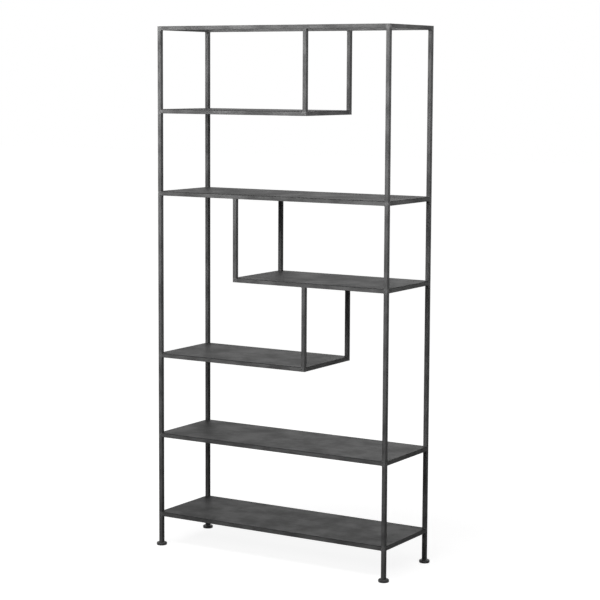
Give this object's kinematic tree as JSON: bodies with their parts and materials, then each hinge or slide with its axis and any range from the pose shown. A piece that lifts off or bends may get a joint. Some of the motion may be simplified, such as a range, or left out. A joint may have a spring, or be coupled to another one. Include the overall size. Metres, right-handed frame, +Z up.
{
  "type": "zigzag bookshelf",
  "caption": "Open etagere of square steel tube with sheet steel shelves, some short and hung in turn from the left and right, on round levelling feet.",
  "frame": {"origin": "on the floor, under the middle of the frame", "axes": "+Z up along the uprights, +X to the right seen from the front, +Y to the back; the front faces -Y"},
  "size_m": [1.025, 0.357, 2],
  "materials": {
    "frame_tube": "blackened steel under clear lacquer, semi-gloss, paler at the worn edges and welds",
    "shelf_sheet": "blackened steel sheet under clear lacquer, satin, softly mottled with faint rolling streaks",
    "foot_cup": "pressed steel, dark satin paint",
    "foot_sole": "black nylon, matt",
    "foot_stud": "zinc plated thread",
    "foot_insert": "zinc plated, dull"
  },
  "bodies": {
    "root": {"upright_front_left": "frame_tube", "upright_front_right": "frame_tube", "upright_back_left": "frame_tube", "upright_back_right": "frame_tube", "top_rail_front": "frame_tube", "top_rail_back": "frame_tube", "top_rail_left": "frame_tube", "top_rail_right": "frame_tube", "shelf_1_rail_front": "frame_tube", "shelf_1_rail_back": "frame_tube", "shelf_1_rail_left": "frame_tube", "shelf_1_rail_right": "frame_tube", "shelf_1_panel": "shelf_sheet", "shelf_2_rail_front": "frame_tube", "shelf_2_rail_back": "frame_tube", "shelf_2_rail_left": "frame_tube", "shelf_2_rail_right": "frame_tube", "shelf_2_panel": "shelf_sheet", "shelf_3_rail_front": "frame_tube", "shelf_3_rail_back": "frame_tube", "shelf_3_rail_left": "frame_tube", "shelf_3_rail_right": "frame_tube", "shelf_3_panel": "shelf_sheet", "shelf_3_hanger_front": "frame_tube", "shelf_3_hanger_back": "frame_tube", "shelf_4_rail_front": "frame_tube", "shelf_4_rail_back": "frame_tube", "shelf_4_rail_left": "frame_tube", "shelf_4_rail_right": "frame_tube", "shelf_4_panel": "shelf_sheet", "shelf_4_hanger_front": "frame_tube", "shelf_4_hanger_back": "frame_tube", "shelf_5_rail_front": "frame_tube", "shelf_5_rail_back": "frame_tube", "shelf_5_rail_left": "frame_tube", "shelf_5_rail_right": "frame_tube", "shelf_5_panel": "shelf_sheet", "shelf_6_rail_front": "frame_tube", "shelf_6_rail_back": "frame_tube", "shelf_6_rail_left": "frame_tube", "shelf_6_rail_right": "frame_tube", "shelf_6_panel": "shelf_sheet", "shelf_6_hanger_front": "frame_tube", "shelf_6_hanger_back": "frame_tube", "foot_front_left_insert": "foot_insert", "foot_front_right_insert": "foot_insert", "foot_back_left_insert": "foot_insert", "foot_back_right_insert": "foot_insert"},
    "foot_front_left": {"foot_front_left_cup": "foot_cup", "foot_front_left_sole": "foot_sole"},
    "stud_front_left": {"foot_front_left_stud": "foot_stud"},
    "foot_front_right": {"foot_front_right_cup": "foot_cup", "foot_front_right_sole": "foot_sole"},
    "stud_front_right": {"foot_front_right_stud": "foot_stud"},
    "foot_back_left": {"foot_back_left_cup": "foot_cup", "foot_back_left_sole": "foot_sole"},
    "stud_back_left": {"foot_back_left_stud": "foot_stud"},
    "foot_back_right": {"foot_back_right_cup": "foot_cup", "foot_back_right_sole": "foot_sole"},
    "stud_back_right": {"foot_back_right_stud": "foot_stud"}
  },
  "joints": [
    {"name": "foot_front_left_lift", "type": "slide", "parent": "root", "child": "foot_front_left", "axis": [0, 0, -1], "range_m": [0, 0.01]},
    {"name": "stud_front_left_turn", "type": "hinge", "parent": "foot_front_left", "child": "stud_front_left", "pos_m": [-0.4925, -0.1585, 0.02], "axis": [0, 0, -1], "range_deg": [0, 2880]},
    {"name": "foot_front_right_lift", "type": "slide", "parent": "root", "child": "foot_front_right", "axis": [0, 0, -1], "range_m": [0, 0.01]},
    {"name": "stud_front_right_turn", "type": "hinge", "parent": "foot_front_right", "child": "stud_front_right", "pos_m": [0.4925, -0.1585, 0.02], "axis": [0, 0, -1], "range_deg": [0, 2880]},
    {"name": "foot_back_left_lift", "type": "slide", "parent": "root", "child": "foot_back_left", "axis": [0, 0, -1], "range_m": [0, 0.01]},
    {"name": "stud_back_left_turn", "type": "hinge", "parent": "foot_back_left", "child": "stud_back_left", "pos_m": [-0.4925, 0.1585, 0.02], "axis": [0, 0, -1], "range_deg": [0, 2880]},
    {"name": "foot_back_right_lift", "type": "slide", "parent": "root", "child": "foot_back_right", "axis": [0, 0, -1], "range_m": [0, 0.01]},
    {"name": "stud_back_right_turn", "type": "hinge", "parent": "foot_back_right", "child": "stud_back_right", "pos_m": [0.4925, 0.1585, 0.02], "axis": [0, 0, -1], "range_deg": [0, 2880]}
  ],
  "couplings": [
    {"joint": "stud_front_left_turn", "follows": "foot_front_left_lift", "rad_per_m": 5026.5},
    {"joint": "stud_front_right_turn", "follows": "foot_front_right_lift", "rad_per_m": 5026.5},
    {"joint": "stud_back_left_turn", "follows": "foot_back_left_lift", "rad_per_m": 5026.5},
    {"joint": "stud_back_right_turn", "follows": "foot_back_right_lift", "rad_per_m": 5026.5}
  ]
}
